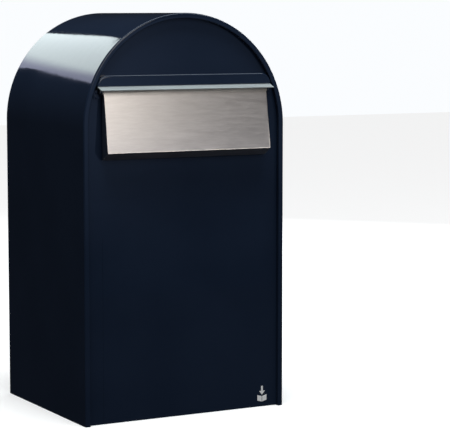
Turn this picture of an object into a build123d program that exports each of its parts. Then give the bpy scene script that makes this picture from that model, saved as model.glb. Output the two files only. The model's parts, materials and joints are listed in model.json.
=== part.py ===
# Book drop box: an arched sheet-steel casing with a stainless flap over the slot in front
# and a bottom-hinged, locked door at the back.
# Millimetres. X to the right seen from the front, Y from front to back, Z up.
# The origin is the middle of the casing's footprint, on the surface that the box stands on.

import os
from math import cos, hypot, radians, sin, sqrt, tan

from build123d import *

os.makedirs("parts", exist_ok=True)

# ---------- casing ----------
body_w = 332.0            # width over the casing
body_d = 290.0            # depth, front hem to back hem
body_h = 600.0            # height to the top of the arch
wrap_t = 1.5              # casing sheet
panel_t = 1.5             # front and rear panel sheet
rim_w = 8.0               # width of the hem's flat face
recess = 7.5              # how far both panels sit behind the hem's face
rim_bend = 2.5            # outer bend of the hem
rim_inner_bend = 1.2      # bend from the hem's face to its return
weld_gap = 0.1            # gap between a panel's edge and the casing wall

arch_r = body_w / 2
spring_z = body_h - arch_r                  # where the straight sides meet the arch
front_y = -body_d / 2                       # face of the front hem
back_y = body_d / 2                         # face of the back hem
panel_front = front_y + recess              # visible face of the front panel
panel_back = panel_front + panel_t
rear_face = back_y - recess                 # visible face of the rear panel
rear_inner = rear_face - panel_t

# ---------- hood ----------
lip_rise = 60.8           # lip's upper edge above the spring line
hood_rise = 15.7          # hood's top above the lip
hood_r = 17.0             # hood's upper corners
hood_gap = 0.5            # least gap from a hood corner to the hem
hood_t = 1.5
hood_bend = 3.0           # bend round the hood's face
lip_t = 1.5               # separate strip under the hood's face
lip_reach = 11.0          # lip's reach in front of the hem
lip_drop = 5.3            # lip's free edge below the hood's foot
lip_gap = 0.5             # strip below the hood's foot, behind its face
lip_bend = 0.4
lip_edge = 0.5            # rounding of the lip's free edge
lip_side_gap = 0.3        # strip's end inside the hood's bent side
lip_flange = 10.0         # upright flange behind the hood's face

lip_z = spring_z + lip_rise
hood_top = lip_z + hood_rise
# the corner arc stays inside the hem's arch by hood_gap
corner_rise = hood_top - hood_r - spring_z
hood_half = hood_r + sqrt((arch_r - rim_w - hood_gap - hood_r) ** 2 - corner_rise ** 2)
lip_half = hood_half - hood_t - lip_side_gap

# ---------- flap ----------
flap_t = 1.2
flap_inset = 9.3          # flap's side inside the hood's side
flap_top_gap = 4.8        # flap's top edge below the lip's upper edge
flap_drop = 91.5          # height of the flap's face
flap_out = 15.0           # bottom edge in front of the hem
flap_tilt = 8.5           # lean of the closed face, degrees
flap_return_drop = 10.5   # fall of the bottom return
flap_rear = 3.0           # rear edge of the cheeks, behind the hem's face
flap_bend = 1.4
flap_half = hood_half - flap_inset
flap_top_z = lip_z - flap_top_gap
flap_low_z = flap_top_z - flap_drop         # bottom edge of the face
flap_end_z = flap_low_z - flap_return_drop  # lowest edge of the return

rod_r = 2.0
rod_back = 2.6            # rod's axis behind the hem's face
rod_below = 3.5           # rod's axis below the flap's top
flap_ear_r = 3.6          # cheek's ear round the rod
rod_y = front_y + rod_back
rod_z = flap_top_z - rod_below

run_gap = 0.05            # radial running clearance of every turning fit
side_gap = 0.3            # side clearance between turning pieces
bush_wall = 0.95
bush_flange_t = 0.9
bush_flange_r = 4.0
bracket_t = 2.0
bracket_r = 4.2           # bracket's ear round the bush
foot_gap = 0.75           # bracket's foot to the casing's hem
bracket_high = 13.0
foot_drop = 3.5           # the foot's middle below the rod's axis
foot_t = 1.5
foot_rivet_step = 7.0
clip_r = 3.2
clip_t = 0.8
rod_over = 0.8            # rod's end outside the clip
rod_chamfer = 0.4
bush_x = flap_half + side_gap               # inner face of the bush's flange
bracket_x = bush_x + bush_flange_t          # inner face of the bracket
clip_x = bracket_x + bracket_t + side_gap
foot_z = rod_z - foot_drop
# the foot runs from the ear out to the hem, less the gap, at the height of its top
foot_rise = foot_z + bracket_high / 2 - spring_z
hem_room = sqrt((arch_r - rim_w) ** 2 - foot_rise ** 2)
bracket_foot = hem_room - foot_gap - bracket_x - bracket_t

rivet_r = 1.6
rivet_head_r = 2.7
rivet_head_t = 1.1
rivet_tail_r = 2.4
rivet_tail_t = 1.0

bumper_w = 12.0
bumper_high = 8.0
bumper_x = 80.0           # bumpers' distance from the middle
bumper_gap = 0.3          # bumper to the closed flap
bumper_r = 1.5

# ---------- slot ----------
slot_cover = 10.0         # flap's overlap over the slot's side
slot_low = 3.5            # slot's sill above the bottom edge of the flap's face
slot_high = 74.0
slot_r = 6.0
trim_wall = 1.5
trim_lap = 3.0            # trim's overlap on the panel
trim_t = 1.0
slot_half = flap_half - slot_cover
slot_z0 = flap_low_z + slot_low
slot_z1 = slot_z0 + slot_high

# ---------- chute ----------
chute_t = 1.2
chute_reach = 105.0
chute_slope = 30.0        # degrees below horizontal
chute_wall = 20.0
chute_flange = 14.0
chute_gap = 0.6           # chute's top edge under the slot trim
chute_side_gap = 1.5      # chute's wall outside the slot trim
chute_trim_gap = 0.2      # chute's wall behind the slot trim
chute_top = slot_z0 - trim_lap - chute_gap
chute_half = slot_half + trim_lap + chute_side_gap
chute_rivet_x = (40.0, 112.0)

# ---------- emblem and front crease ----------
crease_x = -134.0
crease_top = 275.0
crease_w = 0.8
crease_deep = 0.4
emblem_side = 24.5        # emblem's middle inside the hem's edge
emblem_low = 7.5
emblem_t = 0.3

# ---------- door opening ----------
jamb_w = 31.5             # casing's side to the door's side
door_top = 351.0
door_low = 4.0            # door's bottom edge above the floor
door_gap = 1.0
door_deep = 18.0          # thickness of the closed door
door_stop_gap = 0.3       # closed door to the seal
seal_t = 2.2
rebate_w = 8.0
rebate_low = 34.0         # rebate and seal start above the door's swing
seal_w = 6.0
seal_side_gap = 1.5       # seal to the folded jamb
seal_top_gap = 1.0
seal_low_gap = 2.0        # seal's end above the rebate's
door_half = body_w / 2 - jamb_w
opening_half = door_half + door_gap
opening_top = door_top + door_gap
door_inner = rear_face - door_deep
jamb_deep = door_deep + door_stop_gap + seal_t + panel_t    # folded jamb, from the rear face
jamb_y = rear_face - jamb_deep              # innermost plane of the jamb

# ---------- door ----------
door_t = 1.2
door_bend = 1.5
liner_t = 1.2
liner_rim = 5.0
liner_hole_r = 17.0
liner_gap = 0.1

door_pin_r = 2.5
door_pin_in = 7.0         # hinge axis inside the door's face
door_pin_up = 9.0         # hinge axis above the door's bottom edge
door_bush_r = 3.5
door_bush_flange_r = 4.3
pin_reach = 3.0           # pin's end past the door's side wall
pin_head_r = 4.5
pin_head_t = 2.0
pin_chamfer = 0.5
plate_t = 2.0
plate_high = 26.0
plate_low = 3.0
pin_y = rear_face - door_pin_in
pin_z = door_low + door_pin_up

# ---------- cam lock ----------
lock_drop = 20.0          # lock's axis below the door's top
rose_r = 13.0
rose_t = 3.0
barrel_r = 9.25
plug_r = 7.0
plug_sink = 0.6           # plug's face below the rose's face
plug_chamfer = 0.4
keyway_w = 1.3
keyway_high = 8.6
keyway_deep = 14.0
fit_gap = 0.05            # radial gap of parts that are clamped or riveted
lock_nut_af = 25.0
lock_nut_t = 5.0
lock_washer_r = 12.6
lock_washer_t = 1.0
strike_t = 1.5
strike_half = 16.0
strike_r = 1.5
strike_drop = 1.0         # strike plate below the middle of the rebate
cam_gap = 0.4             # cam to the strike plate and to the barrel's end
cam_t = 2.5
cam_hub_r = 9.5
cam_w = 15.0
cam_reach = 34.0
cam_tip_r = 3.0
tail_side = 7.5           # square tail of the plug
cam_washer_r = 6.5
cam_washer_t = 1.0
screw_r = 1.9
screw_head_r = 4.4
screw_head_t = 2.6
screw_len = 8.0
screw_head_round = 0.8
screw_hole_spare = 1.0    # hole deeper than the screw
cross_len = 5.0           # cross slot in the screw's head
cross_w = 1.0
cross_deep = 1.4
lock_z = door_top - lock_drop
cam_y = jamb_y - strike_t - cam_gap         # face of the cam towards the door
barrel_end = cam_y + cam_gap

# ---------- floor ----------
pan_t = 1.5
pan_flange = 15.0
pan_back_gap = 2.5        # tray's rear edge in front of the jambs
mat_t = 3.0
mat_margin = 8.0
bolt_x = 220.0            # spacing of the floor fixing holes
bolt_y = 150.0
bolt_hole_r = 4.5
bolt_mid_y = -10.0
mat_hole_r = 12.0
pan_half = body_w / 2 - wrap_t - weld_gap
pan_y1 = jamb_y - pan_back_gap


def facing_front(y):
    # plane across the box at this Y, looking to the front; extruding by -t goes backwards
    return Plane.XZ.offset(-y)


def arch_profile(inset, foot=0.0):
    # straight sides and a half-round top, inset from the casing's outside
    half = arch_r - inset
    with BuildLine() as outline:
        Polyline((half, spring_z), (half, foot), (-half, foot), (-half, spring_z))
        ThreePointArc((-half, spring_z), (0, spring_z + half), (half, spring_z))
    make_face(outline.edges())


def outline_radius(point):
    # distance from the casing's middle line, measured as the arch measures it
    return hypot(point.X, point.Z - spring_z) if point.Z > spring_z else abs(point.X)


def on_outline(edge, inset):
    return abs(outline_radius(edge.position_at(0.5)) - (arch_r - inset)) < 0.02


def at_plane(edge, axis_value, value):
    return abs(axis_value(edge.position_at(0.3)) - value) < 0.01 and abs(
        axis_value(edge.position_at(0.7)) - value) < 0.01


def at_y(edge, y):
    return at_plane(edge, lambda p: p.Y, y)


def write(built, label):
    built.part.label = label
    export_step(built.part, f"parts/{label}.step")


def build_rivets(head_plane, positions, grip):
    # dome-headed rivets; the heads stand on the plane and the shanks run behind it by the grip
    with BuildPart() as rivets:
        with BuildSketch(head_plane):
            with Locations(*positions):
                Circle(rivet_head_r)
        extrude(amount=rivet_head_t)
        head_y = head_plane.origin.Y - rivet_head_t
        fillet(edges().filter_by(lambda e: at_y(e, head_y)), rivet_head_t * 0.8)
        with BuildSketch(head_plane):
            with Locations(*positions):
                Circle(rivet_r)
        extrude(amount=-grip)
        with BuildSketch(head_plane.offset(-grip)):
            with Locations(*positions):
                Circle(rivet_tail_r)
        extrude(amount=-rivet_tail_t)
    return rivets


# ---------- body_wrap ----------
with BuildPart() as body_wrap:
    with BuildSketch(facing_front(front_y)):
        arch_profile(0)
    extrude(amount=-body_d)
    with BuildSketch(facing_front(front_y + wrap_t)):
        arch_profile(wrap_t, foot=-1)
    extrude(amount=-(body_d - 2 * wrap_t), mode=Mode.SUBTRACT)
    for hem_y, inwards in ((front_y, -1), (back_y, 1)):
        with BuildSketch(facing_front(hem_y)):
            arch_profile(rim_w - wrap_t)
        extrude(amount=inwards * recess)
    with BuildSketch(facing_front(front_y)):
        arch_profile(rim_w, foot=-1)
    extrude(amount=-body_d, mode=Mode.SUBTRACT)
    face_edges = edges().filter_by(lambda e: at_y(e, front_y) or at_y(e, back_y))
    fillet(face_edges.filter_by(lambda e: on_outline(e, 0)), rim_bend)
    face_edges = edges().filter_by(lambda e: at_y(e, front_y) or at_y(e, back_y))
    fillet(face_edges.filter_by(lambda e: on_outline(e, rim_w)), rim_inner_bend)
write(body_wrap, "body_wrap")

# ---------- front_panel ----------
slot_mid = (slot_z0 + slot_z1) / 2
chute_rivets_at = [(s * x, chute_top - chute_flange / 2) for x in chute_rivet_x for s in (-1, 1)]
foot_x = bracket_x + bracket_t + bracket_foot / 2
foot_rivets_at = [(s * foot_x, foot_z + up * foot_rivet_step / 2) for s in (-1, 1) for up in (-1, 1)]

with BuildPart() as front_panel:
    with BuildSketch(facing_front(panel_front)):
        arch_profile(wrap_t + weld_gap)
        with Locations((0, slot_mid)):
            RectangleRounded(2 * slot_half, slot_high, slot_r, mode=Mode.SUBTRACT)
        with Locations(*chute_rivets_at, *foot_rivets_at):
            Circle(rivet_r + fit_gap, mode=Mode.SUBTRACT)
    extrude(amount=-panel_t)
    with BuildSketch(facing_front(panel_front)):
        with Locations((crease_x, crease_top / 2)):
            Rectangle(crease_w, crease_top)
    extrude(amount=-crease_deep, mode=Mode.SUBTRACT)
write(front_panel, "front_panel")

# ---------- rain_hood ----------


def hood_profile(inset, foot):
    # two round upper corners over short straight sides, cut off flat at the foot
    half = hood_half - inset
    top = hood_top - inset
    corner = hood_r - inset
    skirt = top - 2 * hood_r
    with BuildLine() as outline:
        Polyline((-half, top - corner), (-half, skirt), (half, skirt), (half, top - corner))
        CenterArc((half - corner, top - corner), corner, 0, 90)
        Line((half - corner, top), (-half + corner, top))
        CenterArc((-half + corner, top - corner), corner, 90, 90)
    make_face(outline.edges())
    with Locations((0, foot)):
        Rectangle(3 * half, 2 * hood_r, align=(Align.CENTER, Align.MAX), mode=Mode.SUBTRACT)


with BuildPart() as rain_hood:
    with BuildSketch(facing_front(panel_front)):
        hood_profile(0, lip_z)
    extrude(amount=recess)
    face_edges = edges().filter_by(lambda e: at_y(e, front_y))
    fillet(face_edges.filter_by(lambda e: e.position_at(0.5).Z > lip_z + 0.01), hood_bend)
    with BuildSketch(facing_front(panel_front)):
        hood_profile(hood_t, lip_z - 1)
    extrude(amount=recess - hood_t, mode=Mode.SUBTRACT)
write(rain_hood, "rain_hood")

# ---------- rain_lip ----------
lip_root = (front_y + hood_t, lip_z - lip_gap)
lip_tip = (front_y - lip_reach, lip_z - lip_drop)
flange_half = hood_half - hood_r
lip_run = lip_root[0] - lip_tip[0]
lip_fall = lip_root[1] - lip_tip[1]
lip_len = hypot(lip_run, lip_fall)
# the strip's thickness, square to its slope
lip_under = (lip_tip[0] + lip_t * lip_fall / lip_len, lip_tip[1] - lip_t * lip_run / lip_len)
flange_y = lip_root[0] + lip_t
elbow = (flange_y, lip_under[1] + (flange_y - lip_under[0]) * lip_fall / lip_run)
with BuildPart() as rain_lip:
    with BuildSketch(Plane.YZ.offset(-lip_half)):
        with BuildLine():
            Polyline((lip_root[0], lip_z + lip_flange), lip_root, lip_tip, lip_under, elbow,
                     (flange_y, lip_z + lip_flange), close=True)
        make_face()
        fillet(vertices().sort_by_distance((*lip_tip, 0))[0], lip_edge)
        fillet(vertices().sort_by_distance((*lip_under, 0))[0], lip_edge)
        fillet(vertices().sort_by_distance((*lip_root, 0))[0], lip_bend)
        fillet(vertices().sort_by_distance((*elbow, 0))[0], lip_bend + lip_t)
    extrude(amount=2 * lip_half)
    # the flange ends where the hood's round corners begin
    with BuildSketch(Plane.XY.offset(lip_root[1] + lip_bend)):
        with Locations((-lip_half, flange_y), (lip_half, flange_y)):
            Rectangle(2 * (lip_half - flange_half), 4 * lip_t)
    extrude(amount=lip_flange + lip_gap, mode=Mode.SUBTRACT)
write(rain_lip, "rain_lip")

# ---------- slot_trim ----------
with BuildPart() as slot_trim:
    for start, length, lap in ((panel_front - trim_t, trim_t, trim_lap),
                               (panel_front, panel_t, 0.0),
                               (panel_back, trim_t, trim_lap)):
        with BuildSketch(facing_front(start)):
            with Locations((0, slot_mid)):
                RectangleRounded(2 * (slot_half + lap), slot_high + 2 * lap, slot_r + lap)
                RectangleRounded(2 * (slot_half - trim_wall), slot_high - 2 * trim_wall,
                                 slot_r - trim_wall, mode=Mode.SUBTRACT)
        extrude(amount=-length)
write(slot_trim, "slot_trim")

# ---------- rear_panel ----------
jamb_x = opening_half + panel_t             # outer face of the folded jamb
with BuildPart() as rear_panel:
    with BuildSketch(facing_front(rear_face)):
        arch_profile(wrap_t + weld_gap)
        with Locations((0, opening_top / 2 - 0.5)):
            Rectangle(2 * opening_half, opening_top + 1, mode=Mode.SUBTRACT)
    extrude(amount=panel_t)
    # folded jambs and head
    with BuildSketch(facing_front(rear_face)):
        with Locations((0, (opening_top + panel_t) / 2)):
            Rectangle(2 * jamb_x, opening_top + panel_t)
        with Locations((0, opening_top / 2 - 0.5)):
            Rectangle(2 * opening_half, opening_top + 1, mode=Mode.SUBTRACT)
    extrude(amount=jamb_deep)
    # rebate that the seal lies on
    with BuildSketch(facing_front(jamb_y)):
        with Locations((0, (rebate_low + opening_top + panel_t) / 2)):
            Rectangle(2 * jamb_x, opening_top + panel_t - rebate_low)
        with Locations((0, (rebate_low + opening_top - rebate_w) / 2 - 1)):
            Rectangle(2 * (opening_half - rebate_w), opening_top - rebate_w - rebate_low + 2,
                      mode=Mode.SUBTRACT)
    extrude(amount=-panel_t)
    with BuildSketch(Plane.YZ.offset(-jamb_x - 1)):
        with Locations((pin_y, pin_z)):
            Circle(door_pin_r + fit_gap)
    extrude(amount=2 * jamb_x + 2, mode=Mode.SUBTRACT)
write(rear_panel, "rear_panel")

# ---------- floor_pan ----------
pan_len = pan_y1 - panel_back
pan_mid = (pan_y1 + panel_back) / 2
bolts_at = [(sx * bolt_x / 2, bolt_mid_y + sy * bolt_y / 2) for sx in (-1, 1) for sy in (-1, 1)]
with BuildPart() as floor_pan:
    with BuildSketch(Plane.XY):
        with Locations((0, pan_mid)):
            Rectangle(2 * pan_half, pan_len)
    extrude(amount=pan_flange)
    with BuildSketch(Plane.XY.offset(pan_t)):
        with Locations((0, pan_mid)):
            Rectangle(2 * (pan_half - pan_t), pan_len - 2 * pan_t)
    extrude(amount=pan_flange, mode=Mode.SUBTRACT)
    with BuildSketch(Plane.XY):
        with Locations(*bolts_at):
            Circle(bolt_hole_r)
    extrude(amount=pan_t, mode=Mode.SUBTRACT)
write(floor_pan, "floor_pan")

# ---------- floor_mat ----------
with BuildPart() as floor_mat:
    with BuildSketch(Plane.XY.offset(pan_t)):
        with Locations((0, pan_mid)):
            Rectangle(2 * (pan_half - mat_margin), pan_len - 2 * mat_margin)
        with Locations(*bolts_at):
            Circle(mat_hole_r, mode=Mode.SUBTRACT)
    extrude(amount=mat_t)
write(floor_mat, "floor_mat")

# ---------- book_chute ----------
slope = radians(chute_slope)
chute_end_y = panel_back + chute_reach
chute_end_z = chute_top - chute_reach * tan(slope)
sheet_drop = chute_t / cos(slope)           # the sheet's thickness, measured straight down
inner_y = panel_back + trim_t + chute_trim_gap
inner_top = chute_top - (inner_y - panel_back) * tan(slope)
with BuildPart() as book_chute:
    with BuildSketch(Plane.YZ.offset(-chute_half)):
        with BuildLine():
            Polyline((panel_back, chute_top), (chute_end_y, chute_end_z),
                     (chute_end_y, chute_end_z - sheet_drop),
                     (panel_back + chute_t, chute_top - chute_t * tan(slope) - sheet_drop),
                     (panel_back + chute_t, chute_top - chute_flange),
                     (panel_back, chute_top - chute_flange), close=True)
        make_face()
    extrude(amount=2 * chute_half)
    for x0 in (-chute_half, chute_half - chute_t):
        with BuildSketch(Plane.YZ.offset(x0)):
            with BuildLine():
                Polyline((inner_y, inner_top - sheet_drop / 2), (inner_y, inner_top + chute_wall),
                         (chute_end_y, chute_end_z + chute_wall),
                         (chute_end_y, chute_end_z - sheet_drop / 2), close=True)
            make_face()
        extrude(amount=chute_t)
    with BuildSketch(facing_front(panel_back)):
        with Locations(*chute_rivets_at):
            Circle(rivet_r + fit_gap)
    extrude(amount=-chute_t, mode=Mode.SUBTRACT)
write(book_chute, "book_chute")

# ---------- rivets ----------
write(build_rivets(facing_front(panel_front), chute_rivets_at, panel_t + chute_t), "chute_rivets")
write(build_rivets(facing_front(panel_front - foot_t), foot_rivets_at, panel_t + foot_t),
      "bracket_rivets")

# ---------- flap brackets and bushes ----------
bush_r = rod_r + run_gap + bush_wall        # outside of the flap's bush


def build_bracket(side):
    x_in = side * bracket_x
    foot_mid = side * (bracket_x + (bracket_t + bracket_foot) / 2)
    with BuildPart() as bracket:
        with BuildSketch(Plane.YZ.offset(x_in)):
            with BuildLine():
                Polyline((rod_y, rod_z + bracket_r), (panel_front, foot_z + bracket_high / 2),
                         (panel_front, foot_z - bracket_high / 2), (rod_y, rod_z - bracket_r))
                ThreePointArc((rod_y, rod_z - bracket_r), (rod_y - bracket_r, rod_z),
                              (rod_y, rod_z + bracket_r))
            make_face()
            with Locations((rod_y, rod_z)):
                Circle(bush_r + fit_gap, mode=Mode.SUBTRACT)
        extrude(amount=side * bracket_t)
        with BuildSketch(facing_front(panel_front)):
            with Locations((foot_mid, foot_z)):
                Rectangle(bracket_t + bracket_foot, bracket_high)
            with Locations(*foot_rivets_at):
                Circle(rivet_r + fit_gap, mode=Mode.SUBTRACT)
        extrude(amount=foot_t)
    return bracket


def build_flap_bush(side):
    with BuildPart() as bush:
        with BuildSketch(Plane.YZ.offset(side * bush_x)):
            with Locations((rod_y, rod_z)):
                Circle(bush_flange_r)
        extrude(amount=side * bush_flange_t)
        with BuildSketch(Plane.YZ.offset(side * bracket_x)):
            with Locations((rod_y, rod_z)):
                Circle(bush_r)
        extrude(amount=side * bracket_t)
        with BuildSketch(Plane.YZ.offset(side * bush_x)):
            with Locations((rod_y, rod_z)):
                Circle(rod_r + run_gap)
        extrude(amount=side * (bush_flange_t + bracket_t), mode=Mode.SUBTRACT)
    return bush


for side, hand in ((-1, "left"), (1, "right")):
    write(build_bracket(side), f"flap_bracket_{hand}")
    write(build_flap_bush(side), f"flap_bush_{hand}")

# ---------- flap_bumpers ----------
bumper_face = front_y + flap_rear + bumper_gap
with BuildPart() as flap_bumpers:
    with BuildSketch(facing_front(panel_front)):
        with Locations(*[(s * bumper_x, flap_end_z + bumper_high / 2) for s in (-1, 1)]):
            RectangleRounded(bumper_w, bumper_high, bumper_r)
    extrude(amount=panel_front - bumper_face)
write(flap_bumpers, "flap_bumpers")

# ---------- flap_plate ----------
tilt = radians(flap_tilt)
face_low = (front_y - flap_out, flap_low_z)
face_top = (face_low[0] + flap_drop * tan(tilt), flap_top_z)
rear_y = front_y + flap_rear
return_len = hypot(rear_y - face_low[0], flap_return_drop)
return_fall = flap_return_drop / (rear_y - face_low[0])
inner_top_z = flap_top_z - flap_t
face_in = flap_t / cos(tilt)                # the face's thickness, measured along Y
return_up = flap_t * return_len / (rear_y - face_low[0])   # the return's, along Z
# where the inner sides of the face and of the return meet
meet_dz = (return_up - return_fall * face_in) / (1 + return_fall * tan(tilt))
inner_low = (face_low[0] + face_in + meet_dz * tan(tilt), flap_low_z + meet_dz)
inner_high = (face_top[0] - flap_t * tan(tilt) + face_in, inner_top_z)
past = 1.0                # the hollow's cut runs past the open rear

with BuildPart() as flap_plate:
    with BuildSketch(Plane.YZ.offset(-flap_half)):
        with BuildLine():
            Polyline(face_top, face_low, (rear_y, flap_end_z), (rear_y, flap_top_z), close=True)
        make_face()
    extrude(amount=2 * flap_half)
    front_edges = edges().filter_by(
        lambda e: abs(e.position_at(0.5).Y - (face_low[0]
                                              + (e.position_at(0.5).Z - flap_low_z) * tan(tilt))) < 0.01)
    fillet(front_edges, flap_bend)
    with BuildSketch(Plane.YZ.offset(-(flap_half - flap_t))):
        with BuildLine():
            Polyline(inner_high, inner_low,
                     (rear_y + past, inner_low[1] - (rear_y + past - inner_low[0]) * return_fall),
                     (rear_y + past, inner_top_z), close=True)
        make_face()
    extrude(amount=2 * (flap_half - flap_t), mode=Mode.SUBTRACT)
    for x0 in (-flap_half, flap_half - flap_t):
        with BuildSketch(Plane.YZ.offset(x0)):
            with Locations((rod_y, rod_z)):
                Circle(flap_ear_r)
                Rectangle(flap_ear_r, 2 * flap_ear_r, align=(Align.MAX, Align.CENTER))
        extrude(amount=flap_t)
    with BuildSketch(Plane.YZ.offset(-flap_half)):
        with Locations((rod_y, rod_z)):
            Circle(rod_r)
    extrude(amount=2 * flap_half, mode=Mode.SUBTRACT)
write(flap_plate, "flap_plate")

# ---------- flap_rod and rod_clips ----------
rod_half = clip_x + clip_t + rod_over
with BuildPart() as flap_rod:
    with BuildSketch(Plane.YZ.offset(-rod_half)):
        with Locations((rod_y, rod_z)):
            Circle(rod_r)
    extrude(amount=2 * rod_half)
    chamfer(edges().filter_by(GeomType.CIRCLE), rod_chamfer)
write(flap_rod, "flap_rod")

with BuildPart() as rod_clips:
    for x0 in (-clip_x - clip_t, clip_x):
        with BuildSketch(Plane.YZ.offset(x0)):
            with Locations((rod_y, rod_z)):
                Circle(clip_r)
                Circle(rod_r, mode=Mode.SUBTRACT)
        extrude(amount=clip_t)
write(rod_clips, "rod_clips")

# ---------- emblem ----------
# open book under an arrow that points down
page_w = 7.6
page_high = 8.5
page_drop = 2.2           # the pages fall towards the spine
spine = 0.8
arrow_w = 10.0
arrow_head = 6.0
arrow_stem = 3.2
arrow_high = 13.5
arrow_gap = 2.2
emblem_x = arch_r - rim_w - emblem_side
book_top = emblem_low + page_high + page_drop
arrow_tip = book_top - page_drop + arrow_gap
with BuildPart() as emblem:
    with BuildSketch(facing_front(panel_front)):
        for s in (-1, 1):
            with BuildLine():
                Polyline((emblem_x + s * spine / 2, emblem_low),
                         (emblem_x + s * (spine / 2 + page_w), emblem_low + page_drop),
                         (emblem_x + s * (spine / 2 + page_w), book_top),
                         (emblem_x + s * spine / 2, emblem_low + page_high), close=True)
            make_face()
        with BuildLine():
            Polyline((emblem_x, arrow_tip), (emblem_x + arrow_w / 2, arrow_tip + arrow_head),
                     (emblem_x + arrow_stem / 2, arrow_tip + arrow_head),
                     (emblem_x + arrow_stem / 2, arrow_tip + arrow_high),
                     (emblem_x - arrow_stem / 2, arrow_tip + arrow_high),
                     (emblem_x - arrow_stem / 2, arrow_tip + arrow_head),
                     (emblem_x - arrow_w / 2, arrow_tip + arrow_head), close=True)
        make_face()
    extrude(amount=emblem_t)
write(emblem, "emblem")

# ---------- door hinge: plates and pins ----------


def build_hinge_plate(side):
    plate_len = rear_inner - jamb_y
    with BuildPart() as plate:
        with BuildSketch(Plane.YZ.offset(side * jamb_x)):
            with Locations((rear_inner - plate_len / 2, plate_low + plate_high / 2)):
                Rectangle(plate_len, plate_high)
            with Locations((pin_y, pin_z)):
                Circle(door_pin_r + fit_gap, mode=Mode.SUBTRACT)
        extrude(amount=side * plate_t)
    return plate


def build_hinge_pin(side):
    x_end = side * (door_half - door_t - pin_reach)
    x_head = side * (jamb_x + plate_t)
    with BuildPart() as pin:
        with BuildSketch(Plane.YZ.offset(x_end)):
            with Locations((pin_y, pin_z)):
                Circle(door_pin_r)
        extrude(amount=side * (abs(x_head) - abs(x_end)))
        with BuildSketch(Plane.YZ.offset(x_head)):
            with Locations((pin_y, pin_z)):
                Circle(pin_head_r)
        extrude(amount=side * pin_head_t)
        tip = edges().filter_by(GeomType.CIRCLE).sort_by(lambda e: abs(e.center().X))[0]
        chamfer(tip, pin_chamfer)
    return pin


def build_door_bush(side):
    # flange inside the door's wall, sleeve through it
    x_flange = side * (door_half - door_t)
    sleeve = door_t + 0.5 * door_gap
    with BuildPart() as bush:
        with BuildSketch(Plane.YZ.offset(x_flange)):
            with Locations((pin_y, pin_z)):
                Circle(door_bush_flange_r)
        extrude(amount=-side * bush_flange_t)
        with BuildSketch(Plane.YZ.offset(x_flange)):
            with Locations((pin_y, pin_z)):
                Circle(door_bush_r)
        extrude(amount=side * sleeve)
        with BuildSketch(Plane.YZ.offset(x_flange - side * bush_flange_t)):
            with Locations((pin_y, pin_z)):
                Circle(door_pin_r + run_gap)
        extrude(amount=side * (bush_flange_t + sleeve), mode=Mode.SUBTRACT)
    return bush


for side, hand in ((-1, "left"), (1, "right")):
    write(build_hinge_plate(side), f"door_hinge_plate_{hand}")
    write(build_hinge_pin(side), f"door_hinge_pin_{hand}")
    write(build_door_bush(side), f"door_bush_{hand}")

# ---------- door_seal ----------
seal_out = opening_half - seal_side_gap
seal_top = opening_top - seal_top_gap
seal_low = rebate_low + seal_low_gap
with BuildPart() as door_seal:
    with BuildSketch(facing_front(jamb_y + panel_t)):
        with Locations((0, (seal_low + seal_top) / 2)):
            Rectangle(2 * seal_out, seal_top - seal_low)
        with Locations((0, (rebate_low + seal_top - seal_w) / 2)):
            Rectangle(2 * (seal_out - seal_w), seal_top - seal_w - rebate_low, mode=Mode.SUBTRACT)
    extrude(amount=-seal_t)
write(door_seal, "door_seal")

# ---------- strike_plate ----------
with BuildPart() as strike_plate:
    with BuildSketch(facing_front(jamb_y)):
        with Locations((0, opening_top + panel_t - rebate_w / 2 - strike_drop)):
            RectangleRounded(2 * strike_half, rebate_w, strike_r)
    extrude(amount=strike_t)
write(strike_plate, "strike_plate")

# ---------- door_panel ----------
door_high = door_top - door_low
door_mid = (door_top + door_low) / 2
with BuildPart() as door_panel:
    with BuildSketch(facing_front(door_inner)):
        with Locations((0, door_mid)):
            Rectangle(2 * door_half, door_high)
    extrude(amount=-door_deep)
    fillet(edges().filter_by(lambda e: at_y(e, rear_face)), door_bend)
    with BuildSketch(facing_front(door_inner)):
        with Locations((0, door_mid)):
            Rectangle(2 * (door_half - door_t), door_high - 2 * door_t)
    extrude(amount=-(door_deep - door_t), mode=Mode.SUBTRACT)
    with BuildSketch(facing_front(door_inner)):
        with Locations((0, lock_z)):
            Circle(barrel_r + fit_gap)
    extrude(amount=-door_deep, mode=Mode.SUBTRACT)
    with BuildSketch(Plane.YZ.offset(-door_half)):
        with Locations((pin_y, pin_z)):
            Circle(door_bush_r + fit_gap)
    extrude(amount=2 * door_half, mode=Mode.SUBTRACT)
write(door_panel, "door_panel")

# ---------- door_liner ----------
liner_half = door_half - door_t - liner_gap
liner_high = door_high - 2 * (door_t + liner_gap)
with BuildPart() as door_liner:
    with BuildSketch(facing_front(door_inner)):
        with Locations((0, door_mid)):
            Rectangle(2 * liner_half, liner_high)
    extrude(amount=-(liner_t + liner_rim))
    with BuildSketch(facing_front(door_inner + liner_t)):
        with Locations((0, door_mid)):
            Rectangle(2 * (liner_half - liner_t), liner_high - 2 * liner_t)
    extrude(amount=-liner_rim, mode=Mode.SUBTRACT)
    with BuildSketch(facing_front(door_inner)):
        with Locations((0, lock_z)):
            Circle(liner_hole_r)
    extrude(amount=-liner_t, mode=Mode.SUBTRACT)
write(door_liner, "door_liner")

# ---------- lock ----------
skin_inner = rear_face - door_t             # inside of the door's skin

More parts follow.
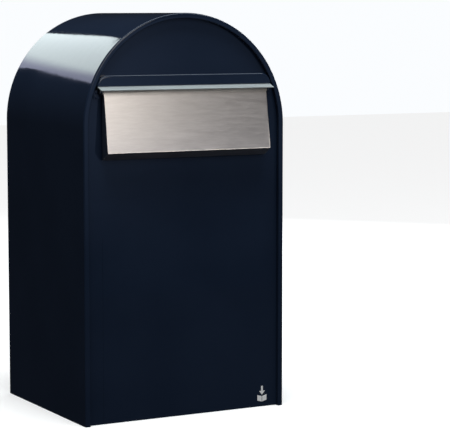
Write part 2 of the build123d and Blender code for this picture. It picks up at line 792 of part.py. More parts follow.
with BuildPart() as lock_housing:
    with BuildSketch(facing_front(rear_face)):
        with Locations((0, lock_z)):
            Circle(rose_r)
    extrude(amount=-rose_t)
    fillet(edges().filter_by(lambda e: at_y(e, rear_face + rose_t)), rose_t * 0.6)
    with BuildSketch(facing_front(rear_face)):
        with Locations((0, lock_z)):
            Circle(barrel_r)
    extrude(amount=rear_face - barrel_end)
    with BuildSketch(facing_front(barrel_end)):
        with Locations((0, lock_z)):
            Circle(plug_r + run_gap)
    extrude(amount=-(rear_face + rose_t - barrel_end), mode=Mode.SUBTRACT)
write(lock_housing, "lock_housing")

with BuildPart() as lock_washer:
    with BuildSketch(facing_front(skin_inner)):
        with Locations((0, lock_z)):
            Circle(lock_washer_r)
            Circle(barrel_r + fit_gap, mode=Mode.SUBTRACT)
    extrude(amount=lock_washer_t)
write(lock_washer, "lock_washer")

with BuildPart() as lock_nut:
    with BuildSketch(facing_front(skin_inner - lock_washer_t)):
        with Locations((0, lock_z)):
            RegularPolygon(lock_nut_af / 2, 6, major_radius=False)
            Circle(barrel_r + fit_gap, mode=Mode.SUBTRACT)
    extrude(amount=lock_nut_t)
write(lock_nut, "lock_nut")

plug_face = rear_face + rose_t - plug_sink
tail_end = cam_y - cam_t
with BuildPart() as lock_plug:
    with BuildSketch(facing_front(plug_face)):
        with Locations((0, lock_z)):
            Circle(plug_r)
    extrude(amount=plug_face - barrel_end)
    chamfer(edges().filter_by(lambda e: at_y(e, plug_face)), plug_chamfer)
    with BuildSketch(facing_front(barrel_end)):
        with Locations((0, lock_z)):
            Rectangle(tail_side, tail_side)
    extrude(amount=barrel_end - tail_end)
    with BuildSketch(facing_front(plug_face)):
        with Locations((0, lock_z)):
            Rectangle(keyway_w, keyway_high)
    extrude(amount=keyway_deep, mode=Mode.SUBTRACT)
    with BuildSketch(facing_front(tail_end)):
        with Locations((0, lock_z)):
            Circle(screw_r + fit_gap)
    extrude(amount=-screw_len, mode=Mode.SUBTRACT)
write(lock_plug, "lock_plug")

with BuildPart() as lock_cam:
    with BuildSketch(facing_front(cam_y)):
        with Locations((0, lock_z)):
            Circle(cam_hub_r)
        with Locations((cam_reach / 2, lock_z)):
            Rectangle(cam_reach, cam_w)
        with Locations((0, lock_z)):
            Rectangle(tail_side + 2 * fit_gap, tail_side + 2 * fit_gap, mode=Mode.SUBTRACT)
    extrude(amount=cam_t)
    tip = edges().filter_by(Axis.Y).filter_by(lambda e: abs(e.center().X - cam_reach) < 0.01)
    fillet(tip, cam_tip_r)
write(lock_cam, "lock_cam")

with BuildPart() as cam_washer:
    with BuildSketch(facing_front(tail_end)):
        with Locations((0, lock_z)):
            Circle(cam_washer_r)
            Circle(screw_r + 2 * fit_gap, mode=Mode.SUBTRACT)
    extrude(amount=cam_washer_t)
write(cam_washer, "cam_washer")

with BuildPart() as cam_screw:
    with BuildSketch(facing_front(tail_end - cam_washer_t)):
        with Locations((0, lock_z)):
            Circle(screw_head_r)
    extrude(amount=screw_head_t)
    fillet(edges().filter_by(lambda e: at_y(e, tail_end - cam_washer_t - screw_head_t)),
           screw_head_round)
    with BuildSketch(facing_front(tail_end - cam_washer_t)):
        with Locations((0, lock_z)):
            Circle(screw_r)
    extrude(amount=-(screw_len + cam_washer_t - screw_hole_spare))
    # cross slot in the head
    with BuildSketch(facing_front(tail_end - cam_washer_t - screw_head_t)):
        with Locations((0, lock_z)):
            Rectangle(cross_len, cross_w)
            Rectangle(cross_w, cross_len)
    extrude(amount=-cross_deep, mode=Mode.SUBTRACT)
write(cam_screw, "cam_screw")
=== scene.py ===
# Book drop box: glossy navy casing with a round roof, a brushed stainless flap over the slot
# and a locked door at the back. Metres; X right, Y front to back, Z up, floor at zero.

import json
from math import cos, pi, radians, sin

import bmesh
import bpy
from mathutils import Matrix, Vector


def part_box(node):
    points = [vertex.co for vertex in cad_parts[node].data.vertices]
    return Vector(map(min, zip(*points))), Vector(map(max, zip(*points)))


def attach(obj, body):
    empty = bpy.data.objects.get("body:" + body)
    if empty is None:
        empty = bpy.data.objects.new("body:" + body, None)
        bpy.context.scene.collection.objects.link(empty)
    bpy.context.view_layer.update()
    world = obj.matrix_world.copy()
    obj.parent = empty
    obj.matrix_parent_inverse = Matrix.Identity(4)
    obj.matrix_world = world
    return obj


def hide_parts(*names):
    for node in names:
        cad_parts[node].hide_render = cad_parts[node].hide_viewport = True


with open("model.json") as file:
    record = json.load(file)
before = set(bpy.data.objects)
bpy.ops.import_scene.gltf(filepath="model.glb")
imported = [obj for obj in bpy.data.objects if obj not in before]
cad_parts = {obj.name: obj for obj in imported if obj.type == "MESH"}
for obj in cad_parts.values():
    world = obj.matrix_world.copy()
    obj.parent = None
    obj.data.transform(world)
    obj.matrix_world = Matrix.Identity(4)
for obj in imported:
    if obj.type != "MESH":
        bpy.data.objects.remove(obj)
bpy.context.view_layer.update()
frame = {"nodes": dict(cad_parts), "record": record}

nodes = frame["nodes"]
print("frame loaded,", len(nodes), "parts")


class Wire:
    # one socket of a node tree, which Python's operators join with Math nodes
    def __init__(self, tree, socket):
        self.tree = tree
        self.socket = socket

    def maths(self, operation, first, second=0.0):
        return node(self.tree, "ShaderNodeMath", {"operation": operation}, {0: first, 1: second})

    def __add__(self, other):
        return self.maths("ADD", self, other)

    def __sub__(self, other):
        return self.maths("SUBTRACT", self, other)

    def __mul__(self, other):
        return self.maths("MULTIPLY", self, other)

    def __truediv__(self, other):
        return self.maths("DIVIDE", self, other)

    def __pow__(self, other):
        return self.maths("POWER", self, other)

    def __lt__(self, other):
        return self.maths("LESS_THAN", self, other)

    def __gt__(self, other):
        return self.maths("GREATER_THAN", self, other)

    def __radd__(self, other):
        return self.maths("ADD", other, self)

    def __rsub__(self, other):
        return self.maths("SUBTRACT", other, self)

    def smooth(self, low, high):
        # 0 below low, 1 above high, eased between
        return node(self.tree, "ShaderNodeMapRange", {"interpolation_type": "SMOOTHSTEP"},
                    {"Value": self, "From Min": low, "From Max": high})


def node(tree, kind, settings=None, inputs=None, out=0):
    # adds a node, sets it up, feeds its inputs and returns one of its outputs
    made = tree.nodes.new(kind)
    for key, value in (settings or {}).items():
        setattr(made, key, value)
    for key, value in (inputs or {}).items():
        if isinstance(value, Wire):
            tree.links.new(value.socket, made.inputs[key])
        else:
            made.inputs[key].default_value = value
    return Wire(tree, made.outputs[out]) if len(made.outputs) else made


def mixColour(factor, low, high):
    # low where the factor is 0, high where it is 1
    return node(factor.tree, "ShaderNodeMix", {"data_type": "RGBA"},
                {0: factor, 6: (*low, 1.0), 7: (*high, 1.0)}, out=2)


def newFinish(name):
    finish = bpy.data.materials.new(name)
    finish.use_nodes = True
    finish.node_tree.nodes.clear()
    return finish


def surface(finish, values):
    # principled surface with these socket values
    shader = node(finish.node_tree, "ShaderNodeBsdfPrincipled", {}, values)
    node(finish.node_tree, "ShaderNodeOutputMaterial", {}, {"Surface": shader})
    return finish


def place(finish, stretch=(1.0, 1.0, 1.0)):
    # object coordinates, stretched
    where = node(finish.node_tree, "ShaderNodeTexCoord", out="Object")
    return node(finish.node_tree, "ShaderNodeMapping", {}, {"Vector": where, "Scale": stretch})


def noise(finish, size, detail, stretch=(1.0, 1.0, 1.0)):
    # soft noise between 0 and 1 with features of about this size in metres
    return node(finish.node_tree, "ShaderNodeTexNoise", {},
                {"Vector": place(finish, stretch), "Scale": 1.0 / size, "Detail": detail})


def bump(height):
    # shades the surface as if it rose by this height in metres
    return node(height.tree, "ShaderNodeBump", {},
                {"Strength": 1.0, "Distance": 1.0, "Height": height})


softEdge = (0.3, 0.7)          # spreads a noise's middle values over the whole range

navyPaintLook = {
    "deep": (0.0098, 0.0172, 0.0360),
    "light": (0.0116, 0.0200, 0.0410),
    "cloudSize": 0.12,
    "cloudRough": 0.03,
    "peelSize": 0.0035,
    "peelDepth": 0.000003,
    "waveSize": 0.012,
    "waveDepth": 0.00004,
    "fleckSize": 0.0011,
    "fleckEdge": (0.70, 0.78),
    "fleckRough": 0.05,
    "roughness": 0.05,
    "refraction": 1.5,
}


def makeNavyPaint():
    # baked gloss powder coat: faint orange peel over slightly wavy sheet
    look = navyPaintLook
    finish = newFinish("navyPaint")
    clouds = noise(finish, look["cloudSize"], 3.0).smooth(*softEdge)
    peel = noise(finish, look["peelSize"], 1.0) * look["peelDepth"]
    waves = noise(finish, look["waveSize"], 0.0) * look["waveDepth"]
    fleck = noise(finish, look["fleckSize"], 0.0).smooth(*look["fleckEdge"])
    return surface(finish, {
        "Base Color": mixColour(clouds, look["deep"], look["light"]),
        "Roughness": look["roughness"] + clouds * look["cloudRough"] + fleck * look["fleckRough"],
        "IOR": look["refraction"],
        "Normal": bump(peel + waves),
    })


brushedLook = {
    "dark": (0.66, 0.632, 0.606),
    "light": (0.73, 0.703, 0.676),
    "roughness": 0.29,         # below 0.28 the fine grain breaks up into flecks
    "toneRough": 0.06,
    "toneEdge": (0.32, 0.68),
    "fineShare": 0.55,
    "broadShare": 0.45,
    "grainHigh": 0.0004,       # height of one brush line
    "grainLong": 0.010,        # its length along X
    "grainDepth": 0.000006,
    "broadTimes": 3,           # the broad lines are this much longer than the fine ones
}


def makeBrushedStainless():
    # long fine brush lines along X
    look = brushedLook
    finish = newFinish("brushedStainless")
    times = look["broadTimes"]
    across = look["grainLong"] / look["grainHigh"]
    fine = noise(finish, look["grainLong"], 3.0, (1.0, across, across))
    broad = noise(finish, look["grainLong"] * times, 2.0, (1.0, across / times, across / times))
    tone = (fine * look["fineShare"] + broad * look["broadShare"]).smooth(*look["toneEdge"])
    return surface(finish, {
        "Base Color": mixColour(tone, look["dark"], look["light"]),
        "Metallic": 1.0,
        "Roughness": look["roughness"] + tone * look["toneRough"],
        "Normal": bump(fine * look["grainDepth"]),
    })


satinLook = {
    "dark": (0.44, 0.49, 0.505),
    "light": (0.51, 0.56, 0.57),
    "metallic": 0.55,
    "roughness": 0.46,
    "lineRough": 0.1,
    "lineLong": 0.06,
    "lineStretch": 60.0,       # a line's length over its height
    "lineDepth": 0.00001,
}


def makeSatinSteel():
    # pale satin strip with faint lines along X
    look = satinLook
    finish = newFinish("satinSteel")
    lines = noise(finish, look["lineLong"], 2.0, (1.0, look["lineStretch"], look["lineStretch"]))
    return surface(finish, {
        "Base Color": mixColour(lines.smooth(*softEdge), look["dark"], look["light"]),
        "Metallic": look["metallic"],
        "Roughness": look["roughness"] + lines * look["lineRough"],
        "Normal": bump(lines * look["lineDepth"]),
    })


rodLook = {
    "dark": (0.58, 0.58, 0.59),
    "light": (0.70, 0.70, 0.71),
    "roughness": 0.20,
    "ringRough": 0.16,
    "ringWide": 0.0006,
    "ringSquash": 0.1,         # the noise hardly changes round the rod
    "ringDepth": 0.000003,
}


def makeBrightSteel():
    # ground rod, with rings from the turning
    look = rodLook
    finish = newFinish("brightSteel")
    rings = noise(finish, look["ringWide"], 1.0, (1.0, look["ringSquash"], look["ringSquash"]))
    return surface(finish, {
        "Base Color": mixColour(rings.smooth(*softEdge), look["dark"], look["light"]),
        "Metallic": 1.0,
        "Roughness": look["roughness"] + rings * look["ringRough"],
        "Normal": bump(rings * look["ringDepth"]),
    })


zincLook = {
    "dark": (0.42, 0.44, 0.47),
    "light": (0.60, 0.62, 0.65),
    "crystalSize": 0.006,
    "crystalShare": 0.6,
    "crystalRough": 0.14,
    "grainSize": 0.0012,
    "grainShare": 0.4,
    "grainDepth": 0.00001,
    "roughness": 0.34,
}


def makeZincPlate():
    # dull bluish zinc with a faint crystal pattern
    look = zincLook
    finish = newFinish("zincPlate")
    crystals = node(finish.node_tree, "ShaderNodeTexVoronoi", {},
                    {"Vector": place(finish), "Scale": 1.0 / look["crystalSize"]}, out="Color")
    shade = node(finish.node_tree, "ShaderNodeSeparateColor", {}, {0: crystals})
    grain = noise(finish, look["grainSize"], 2.0)
    tone = shade * look["crystalShare"] + grain * look["grainShare"]
    return surface(finish, {
        "Base Color": mixColour(tone, look["dark"], look["light"]),
        "Metallic": 1.0,
        "Roughness": look["roughness"] + shade * look["crystalRough"],
        "Normal": bump(grain * look["grainDepth"]),
    })


chromeLook = {
    "clear": (0.78, 0.79, 0.81),
    "hazed": (0.70, 0.71, 0.73),
    "hazeSize": 0.004,
    "hazeEdge": (0.35, 0.75),
    "hazeRough": 0.10,
    "roughness": 0.06,
}


def makeLockChrome():
    look = chromeLook
    finish = newFinish("lockChrome")
    haze = noise(finish, look["hazeSize"], 3.0).smooth(*look["hazeEdge"])
    return surface(finish, {
        "Base Color": mixColour(haze, look["clear"], look["hazed"]),
        "Metallic": 1.0,
        "Roughness": look["roughness"] + haze * look["hazeRough"],
    })


mouldedLook = {
    "grainRough": 0.12,
    "cloudTimes": 20,          # the clouds are this much larger than the grain
}


def makeMoulded(name, dark, light, roughness, grainSize, grainDepth):
    # moulded plastic or rubber with a fine grain
    finish = newFinish(name)
    grain = noise(finish, grainSize, 2.0)
    clouds = noise(finish, grainSize * mouldedLook["cloudTimes"], 2.0).smooth(*softEdge)
    return surface(finish, {
        "Base Color": mixColour(clouds, dark, light),
        "Roughness": roughness + grain * mouldedLook["grainRough"],
        "Normal": bump(grain * grainDepth),
    })


printLook = {
    "dark": (0.88, 0.89, 0.90),
    "light": (0.96, 0.97, 0.98),
    "flakeSize": 0.0005,
    "flakeEdge": (0.35, 0.65),
    "flakeRough": 0.12,
    "roughness": 0.32,
}


def makeSilverPrint():
    # silver transfer: tiny flakes in a pale lacquer
    look = printLook
    finish = newFinish("silverPrint")
    flakes = noise(finish, look["flakeSize"], 1.0).smooth(*look["flakeEdge"])
    return surface(finish, {
        "Base Color": mixColour(flakes, look["dark"], look["light"]),
        "Roughness": look["roughness"] + flakes * look["flakeRough"],
    })


finishes = {
    "navy_paint": makeNavyPaint(),
    "brushed_stainless": makeBrushedStainless(),
    "satin_steel": makeSatinSteel(),
    "bright_steel": makeBrightSteel(),
    "zinc_plate": makeZincPlate(),
    "lock_chrome": makeLockChrome(),
    # name, dark and light colour, roughness, size and depth of the grain
    "black_plastic": makeMoulded("blackPlastic", (0.012, 0.012, 0.013), (0.020, 0.020, 0.021),
                                 0.38, 0.0007, 0.00002),
    "nylon": makeMoulded("nylon", (0.70, 0.68, 0.62), (0.78, 0.76, 0.70), 0.42, 0.0015, 0.00001),
    "black_rubber": makeMoulded("blackRubber", (0.010, 0.010, 0.011), (0.022, 0.022, 0.022),
                                0.62, 0.0009, 0.00004),
    "silver_print": makeSilverPrint(),
}
mmPerMetre = 1000
slotOf = {row["node"]: row["material_slot"] for row in frame["record"]["subparts"]}
for part, shape in nodes.items():
    shape.data.materials.clear()
    shape.data.materials.append(finishes[slotOf[part]])
print("finishes made:", len(finishes))


bodyOf = {part: body for body, parts in frame["record"]["behaviour"]["bodies"].items() for part in parts}
smoothing = {
    "merge": 0.00001,          # corners closer than this are one
    "sharpAngle": 40.0,        # degrees
}


def finishMesh(piece):
    # smooth bends, crisp folds, flat faces that stay flat
    piece.data.shade_smooth()
    piece.data.set_sharp_from_angle(angle=radians(smoothing["sharpAngle"]))
    weighted = piece.modifiers.new("flat faces", "WEIGHTED_NORMAL")
    weighted.keep_sharp = True


def addObject(name, data):
    made = bpy.data.objects.new(name, data)
    bpy.context.scene.collection.objects.link(made)
    return made


def addPiece(name, mesh, part, standsForIt=True):
    # a piece with one part's body and finish; it stands for that part or lies on it
    piece = addObject(name, mesh)
    finishMesh(piece)
    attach(piece, bodyOf[part])
    if standsForIt:
        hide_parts(part)
    return piece


def smoothCopy(part, name, reshape=None):
    # the part's own shape with its corners joined, so that its bends shade smoothly
    source = nodes[part].data
    mesh = bpy.data.meshes.new(name)
    mesh.from_pydata([v.co for v in source.vertices], [], [tuple(f.vertices) for f in source.polygons])
    shape = bmesh.new()
    shape.from_mesh(mesh)
    bmesh.ops.remove_doubles(shape, verts=shape.verts, dist=smoothing["merge"])
    if reshape:
        reshape(shape)
    shape.to_mesh(mesh)
    shape.free()
    mesh.materials.append(finishes[slotOf[part]])
    return addPiece(name, mesh, part)


def newTree(name, sizes, counts):
    # geometry tree with named number inputs; returns it, their wires and their identifiers
    tree = bpy.data.node_groups.new(name, "GeometryNodeTree")
    tree.is_modifier = True
    tree.interface.new_socket("Geometry", in_out="OUTPUT", socket_type="NodeSocketGeometry")
    tree.interface.new_socket("Geometry", in_out="INPUT", socket_type="NodeSocketGeometry")
    keys = {}
    kinds = {**dict.fromkeys(sizes, "NodeSocketFloat"), **dict.fromkeys(counts, "NodeSocketInt")}
    for title, kind in kinds.items():
        socket = tree.interface.new_socket(title, in_out="INPUT", socket_type=kind)
        keys[title] = socket.identifier
    start = tree.nodes.new("NodeGroupInput")
    wires = {title: Wire(tree, start.outputs[title]) for title in ("Geometry", *kinds)}
    return tree, wires, keys


def endTree(tree, result, finish):
    # instances made real and given their finish
    real = node(tree, "GeometryNodeRealizeInstances", {}, {0: result})
    painted = node(tree, "GeometryNodeSetMaterial", {}, {"Geometry": real, "Material": finish})
    node(tree, "NodeGroupOutput", {}, {0: painted})


def growMesh(name, seedMesh, tree, keys, values):
    # runs the tree on the seed and keeps the result as a plain mesh
    seed = addObject(name + "Seed", seedMesh)
    step = seed.modifiers.new("grow", "NODES")
    step.node_group = tree
    for title, value in values.items():
        step[keys[title]] = value
    graph = bpy.context.evaluated_depsgraph_get()
    mesh = bpy.data.meshes.new_from_object(seed.evaluated_get(graph))
    mesh.name = name
    seed.modifiers.clear()
    bpy.data.objects.remove(seed)
    return mesh


casing = {
    "sheet": 0.0015,
    "hemWide": 0.008,          # flat face of the hem
    "hemDeep": 0.0075,         # return of the hem, from its face
    "outerBend": 0.0025,
    "innerBend": 0.0012,
    "bendSteps": 6,
    "archSteps": 120,
}


def arc(centre, radius, start, end, steps):
    # points on an arc in the section, angles in degrees
    for i in range(steps + 1):
        angle = radians(start + (end - start) * i / steps)
        yield centre[0] + radius * cos(angle), centre[1] + radius * sin(angle)


def hemSection(half):
    # closed outline of the sheet, seen along the hem: inset from the outside, then depth
    size = casing
    outer, inner, steps = size["outerBend"], size["innerBend"], size["bendSteps"]
    wide, sheet, deep = size["hemWide"], size["sheet"], size["hemDeep"]
    rim = [
        *arc((outer, half - outer), outer, 180, 90, steps),
        *arc((wide - inner, half - inner), inner, 90, 0, steps),
        (wide, half - deep),
        (wide - sheet, half - deep),
        (wide - sheet, half - sheet),
        (sheet, half - sheet),
    ]
    return rim + [(inset, -depth) for inset, depth in reversed(rim)]


def makeCasing():
    # the hemmed sheet swept up one side, over the arch and down the other
    low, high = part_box("body_wrap")
    radius = (high.x - low.x) / 2
    tree, wires, keys = newTree("hemmedSheet", ("Arch radius", "Straight height"), ("Arch steps",))
    steps = wires["Arch steps"]
    # one point at each foot, the arch's points between them
    line = node(tree, "GeometryNodeMeshLine", {}, {"Count": steps + 3})
    index = node(tree, "GeometryNodeInputIndex")
    turn = node(tree, "ShaderNodeClamp", {}, {"Value": (index - 1) / steps}) * pi
    # 0 at the first and the last point, which are the feet, and 1 on the arch
    onArch = 1 - (index < 0.5) - (index > steps + 1.5)
    across = turn.maths("COSINE", turn) * wires["Arch radius"] * -1
    up = (turn.maths("SINE", turn) * wires["Arch radius"] + wires["Straight height"]) * onArch
    spot = node(tree, "ShaderNodeCombineXYZ", {}, {"X": across, "Z": up})
    line = node(tree, "GeometryNodeSetPosition", {}, {"Geometry": line, "Position": spot})
    path = node(tree, "GeometryNodeMeshToCurve", {}, {0: line})
    path = node(tree, "GeometryNodeSetCurveNormal", {"mode": "FREE"},
                {"Curve": path, "Normal": (0.0, 1.0, 0.0)})
    section = node(tree, "GeometryNodeMeshToCurve", {}, {0: wires["Geometry"]})
    sheet = node(tree, "GeometryNodeCurveToMesh", {},
                 {"Curve": path, "Profile Curve": section, "Fill Caps": True})
    endTree(tree, sheet, finishes["navy_paint"])

    outline = hemSection((high.y - low.y) / 2)
    seed = bpy.data.meshes.new("hemSection")
    count = len(outline)
    seed.from_pydata([(depth, -inset, 0) for inset, depth in outline],
                     [(i, (i + 1) % count) for i in range(count)], [])
    mesh = growMesh("casingSheet", seed, tree, keys, {
        "Arch radius": radius, "Straight height": high.z - radius,
        "Arch steps": casing["archSteps"]})
    shape = bmesh.new()
    shape.from_mesh(mesh)
    bmesh.ops.recalc_face_normals(shape, faces=shape.faces)
    shape.to_mesh(mesh)
    shape.free()
    return addPiece("casingSheet", mesh, "body_wrap")


casingSheet = makeCasing()
print("casing made:", len(casingSheet.data.polygons), "faces")


flapRoll = {
    "high": 0.012,             # band under the top edge that curves back
    "back": 0.002,             # how far the top edge goes back
    "steps": 8,
    "snap": 1e-7,              # a corner this close to a cut is on it
}


def rollTop(shape):
    # curves the top of the flap's face back towards its rod; the rear edges stay put
    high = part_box("flap_plate")[1]
    start = high.z - flapRoll["high"]
    for step in range(flapRoll["steps"]):
        level = start + flapRoll["high"] * step / flapRoll["steps"]
        everything = [*shape.verts, *shape.edges, *shape.faces]
        bmesh.ops.bisect_plane(shape, geom=everything, dist=flapRoll["snap"],
                               plane_co=(0, 0, level), plane_no=(0, 0, 1))
    front = min(v.co.y for v in shape.verts if v.co.z > start)
    for v in shape.verts:
        if v.co.z > start:
            share = (v.co.z - start) / flapRoll["high"]
            nearFront = min(1.0, (high.y - v.co.y) / (high.y - front))
            v.co.y += flapRoll["back"] * share * share * nearFront


mat = {
    "studPitch": 0.0125,
    "studRadius": 0.0034,
    "studTaper": 0.78,         # top radius over bottom radius
    "studHigh": 0.0007,
    "studSides": 16,
    "margin": 0.011,           # bare edge of the mat
    "holeRadius": 0.012,       # the mat's own holes over the floor fixings
    "clear": 0.001,            # bare ring round each hole
}


def makeMatStuds():
    # low round studs on a staggered grid over the rubber mat
    low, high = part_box("floor_mat")
    sizes = ("Width", "Depth", "Pitch", "Radius", "Height", "Lift", "Middle",
             "Hole X", "Hole Y", "Hole middle", "Bare")
    tree, wires, keys = newTree("matStuds", sizes, ("Columns", "Rows"))
    grid = node(tree, "GeometryNodeMeshGrid", {}, {
        "Size X": wires["Width"], "Size Y": wires["Depth"],
        "Vertices X": wires["Columns"], "Vertices Y": wires["Rows"]})
    index = node(tree, "GeometryNodeInputIndex")
    row = index.maths("MODULO", index, wires["Rows"])
    odd = row.maths("MODULO", row, 2.0)
    shift = node(tree, "ShaderNodeCombineXYZ", {}, {
        "X": (odd - 0.5) * wires["Pitch"] * 0.5, "Y": wires["Middle"], "Z": wires["Lift"]})
    spots = node(tree, "GeometryNodeSetPosition", {}, {"Geometry": grid, "Offset": shift})
    # no stud over a hole: the four holes mirror each other, so one distance does for all
    spot = node(tree, "GeometryNodeInputPosition")
    x = node(tree, "ShaderNodeSeparateXYZ", {}, {0: spot}, out="X")
    y = node(tree, "ShaderNodeSeparateXYZ", {}, {0: spot}, out="Y") - wires["Hole middle"]
    aside = x.maths("ABSOLUTE", x) - wires["Hole X"]
    along = y.maths("ABSOLUTE", y) - wires["Hole Y"]
    away = (aside * aside + along * along) ** 0.5
    spots = node(tree, "GeometryNodeDeleteGeometry", {}, {
        "Geometry": spots, "Selection": away < wires["Bare"]})
    stud = node(tree, "GeometryNodeMeshCone", {}, {
        "Vertices": mat["studSides"], "Radius Top": wires["Radius"] * mat["studTaper"],
        "Radius Bottom": wires["Radius"], "Depth": wires["Height"]})
    studs = node(tree, "GeometryNodeInstanceOnPoints", {}, {"Points": spots, "Instance": stud})
    endTree(tree, studs, finishes["black_rubber"])
    wide = high.x - low.x - 2 * mat["margin"]
    deep = high.y - low.y - 2 * mat["margin"]
    columns = int(wide / mat["studPitch"])
    rows = int(deep / mat["studPitch"])
    bolts = next(mount for mount in frame["record"]["mounts"] if mount["name"] == "floor_fixing")
    mesh = growMesh("matStuds", bpy.data.meshes.new("matSeed"), tree, keys, {
        "Width": (columns - 1) * mat["studPitch"], "Depth": (rows - 1) * mat["studPitch"],
        "Columns": columns, "Rows": rows, "Pitch": mat["studPitch"], "Radius": mat["studRadius"],
        "Height": mat["studHigh"], "Lift": high.z, "Middle": (low.y + high.y) / 2,
        "Hole X": bolts["dims"]["spacing_x_mm"] / 2 / mmPerMetre,
        "Hole Y": bolts["dims"]["spacing_y_mm"] / 2 / mmPerMetre,
        "Hole middle": bolts["pos_m"][1],
        "Bare": mat["holeRadius"] + mat["studRadius"] + mat["clear"]})
    return addPiece("matStuds", mesh, "floor_mat", standsForIt=False)


smoothCopy("flap_plate", "flapSheet", rollTop)
for part, name in (
    ("rain_hood", "hoodSheet"), ("rain_lip", "rainLip"), ("door_panel", "doorSkin"),
    ("slot_trim", "slotFrame"), ("lock_housing", "lockRose"), ("lock_plug", "lockPlug"),
    ("emblem", "bookMark"), ("cam_screw", "camScrew"), ("flap_rod", "flapRod"),
    ("chute_rivets", "chuteRivets"), ("bracket_rivets", "bracketRivets"),
):
    smoothCopy(part, name)
print("smooth pieces made")
matStuds = makeMatStuds()
print("mat studs:", len(matStuds.data.polygons), "faces")


stageLook = {
    "floorSize": 14.0,
    "floorColour": (0.86, 0.86, 0.86, 1.0),
    "floorRough": 0.9,
    "floorGlow": 0.16,
    "glowColour": (1.0, 1.0, 1.0, 1.0),
    "skyColour": (0.96, 0.98, 1.0, 1.0),
    "background": 1.0,
    "diffuseSky": 0.11,
    "glossySky": 0.011,
}


def makeFloor():
    half = stageLook["floorSize"] / 2
    mesh = bpy.data.meshes.new("studioFloor")
    mesh.from_pydata([(-half, -half, 0), (half, -half, 0), (half, half, 0), (-half, half, 0)],
                     [], [(0, 1, 2, 3)])
    floor = addObject("studioFloor", mesh)
    mesh.materials.append(surface(newFinish("floorPaper"), {
        "Base Color": stageLook["floorColour"], "Roughness": stageLook["floorRough"],
        "Emission Color": stageLook["glowColour"], "Emission Strength": stageLook["floorGlow"]}))
    floor.visible_glossy = False
    floor.visible_diffuse = False


def makeSky():
    # white behind the object; dim where the gloss mirrors it
    world = bpy.data.worlds.new("studio")
    world.use_nodes = True
    bpy.context.scene.world = world
    tree = world.node_tree
    tree.nodes.clear()
    seen = node(tree, "ShaderNodeLightPath", out="Is Camera Ray")
    mirrored = node(tree, "ShaderNodeLightPath", out="Is Glossy Ray")
    level = (seen * stageLook["background"] + mirrored * stageLook["glossySky"]
             + (1 - seen) * (1 - mirrored) * stageLook["diffuseSky"])
    glow = node(tree, "ShaderNodeBackground", {}, {"Color": stageLook["skyColour"], "Strength": level})
    node(tree, "ShaderNodeOutputWorld", {}, {"Surface": glow})


roofCard = {
    "y": 1.5,
    "outline": (               # X and Z round the card, with a notch at its low far corner
        (-0.80, 1.008), (-0.51, 1.008), (-0.482, 0.995), (-0.475, 0.98), (-0.475, 0.90),
        (0.072, 0.90), (0.072, 1.285), (0.068, 1.305), (0.055, 1.322), (0.03, 1.334),
        (0.0, 1.338), (-0.12, 1.35), (-0.80, 1.37),
    ),
    "strength": 3.6,
    "fade": (0.89, 1.04),      # height plus leaning over which it brightens
    "lean": 0.25,
    "low": (0.37, 0.385, 0.505),
    "high": (0.86, 0.97, 0.985),
}
frontCard = {
    "x": (-0.4, 1.3),
    "y": -1.25,
    "z": (0.002, 0.60),
    "strength": 1.0,
    "side": (0.42, 0.62),      # X over which it darkens to the right
    "sideFall": 0.6,           # share of the glow that it loses there
    "rise": (0.0, 0.50),       # Z over which it brightens upwards
    "dark": (0.006, 0.010, 0.016),
    "light": (0.17, 0.23, 0.38),
}


def makeCard(name, corners, colour, strength):
    # flat glowing card that only reflections show; colour may change over it
    mesh = bpy.data.meshes.new(name)
    mesh.from_pydata(corners, [], [tuple(range(len(corners)))])
    finish = newFinish(name + "Glow")
    tree = finish.node_tree
    glow = node(tree, "ShaderNodeEmission", {}, {"Color": colour(finish), "Strength": strength})
    node(tree, "ShaderNodeOutputMaterial", {}, {"Surface": glow})
    mesh.materials.append(finish)
    shown = addObject(name, mesh)
    shown.visible_camera = False
    shown.visible_shadow = False
    shown.visible_diffuse = False


def makeCards():
    # one behind the box, which the round roof mirrors, and a dim one before its front panel
    def across(finish, axis):
        where = node(finish.node_tree, "ShaderNodeTexCoord", out="Object")
        return node(finish.node_tree, "ShaderNodeSeparateXYZ", {}, {0: where}, out=axis)

    def roofGlow(finish):
        rise = across(finish, "Z") + across(finish, "X") * roofCard["lean"]
        return mixColour(rise.smooth(*roofCard["fade"]), roofCard["low"], roofCard["high"])

    def frontGlow(finish):
        left = 1 - across(finish, "X").smooth(*frontCard["side"])
        rise = across(finish, "Z").smooth(*frontCard["rise"])
        level = (left * frontCard["sideFall"] + (1 - frontCard["sideFall"])) * rise
        return mixColour(level, frontCard["dark"], frontCard["light"])

    makeCard("roofCard", [(x, roofCard["y"], z) for x, z in roofCard["outline"]],
             roofGlow, roofCard["strength"])
    (x0, x1), y, (z0, z1) = frontCard["x"], frontCard["y"], frontCard["z"]
    makeCard("frontCard", [(x0, y, z0), (x1, y, z0), (x1, y, z1), (x0, y, z1)],
             frontGlow, frontCard["strength"])


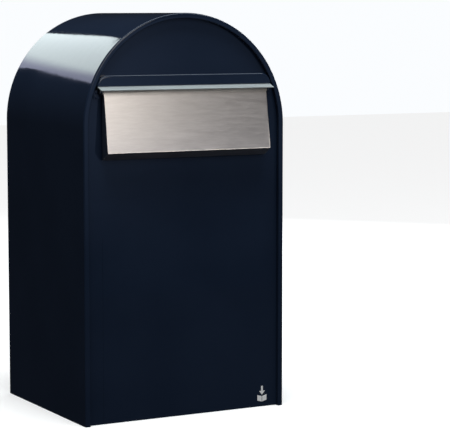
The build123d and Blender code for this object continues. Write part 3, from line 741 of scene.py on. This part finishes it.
lamps = {
    # place, what it points at, width, height, radiance, colour
    "topBox": ((0.15, -0.42, 2.0), (0.15, -0.42, 0.0), 2.2, 0.55, 4.4, (0.88, 0.97, 1.0)),
    "flapBox": ((0.09, -1.25, 0.80), (0.09, 0.0, 0.80), 0.64, 0.34, 3.1, (1.0, 0.93, 0.865)),
    "lowBox": ((0.55, -1.0, 0.14), (0.20, -0.1, 0.42), 1.6, 0.28, 3.4, (1.0, 0.96, 0.93)),
    "frontBox": ((-0.1, -1.9, 1.7), (0.0, -0.15, 0.4), 1.0, 0.6, 3.2, (0.90, 0.96, 1.0)),
    "backBox": ((1.7, 1.7, 0.85), (0.0, 0.15, 0.3), 1.0, 0.9, 5.0, (0.92, 0.97, 1.0)),
}


def makeLamp(name, place, aim, wide, high, radiance, colour):
    # rectangular soft box; its power follows from the radiance that a mirror would show
    lamp = bpy.data.lights.new(name, "AREA")
    lamp.shape = "RECTANGLE"
    lamp.size, lamp.size_y = wide, high
    lamp.energy = radiance * pi * wide * high
    lamp.color = colour
    shown = addObject(name, lamp)
    shown.location = place
    shown.rotation_euler = (Vector(aim) - Vector(place)).to_track_quat("-Z", "Y").to_euler()
    shown.visible_camera = False
    return shown


overhead = {
    "strength": 2.6,
    "softness": 40,            # degrees
    "lean": (8, -6),           # degrees about X and Y
}


def makeOverhead():
    # even light from above for the floor and the contact shadow
    lamp = bpy.data.lights.new("overhead", "SUN")
    lamp.energy = overhead["strength"]
    lamp.angle = radians(overhead["softness"])
    shown = addObject("overhead", lamp)
    leanX, leanY = overhead["lean"]
    shown.rotation_euler = (radians(leanX), radians(leanY), 0)
    shown.visible_glossy = False


view = {
    "place": (-1.2778, -2.5837, 0.5944),
    "turn": 28.836,            # degrees from +Y towards +X
    "tilt": 6.069,             # degrees down
    "lens": 149.73,
    "sensor": 36.0,
}


def makeCamera():
    camera = bpy.data.cameras.new("camera")
    camera.lens = view["lens"]
    camera.sensor_width = view["sensor"]
    shown = addObject("camera", camera)
    shown.location = view["place"]
    shown.rotation_euler = (radians(90 - view["tilt"]), 0, radians(-view["turn"]))
    bpy.context.scene.camera = shown


makeFloor()
makeSky()
makeCards()
lampObjects = {name: makeLamp(name, *values) for name, values in lamps.items()}
flapOnly = bpy.data.collections.new("flapOnly")
flapOnly.objects.link(bpy.data.objects["flapSheet"])
lampObjects["lowBox"].light_linking.receiver_collection = flapOnly
makeOverhead()
makeCamera()
bpy.context.scene.view_settings.view_transform = "Standard"
print("stage set")
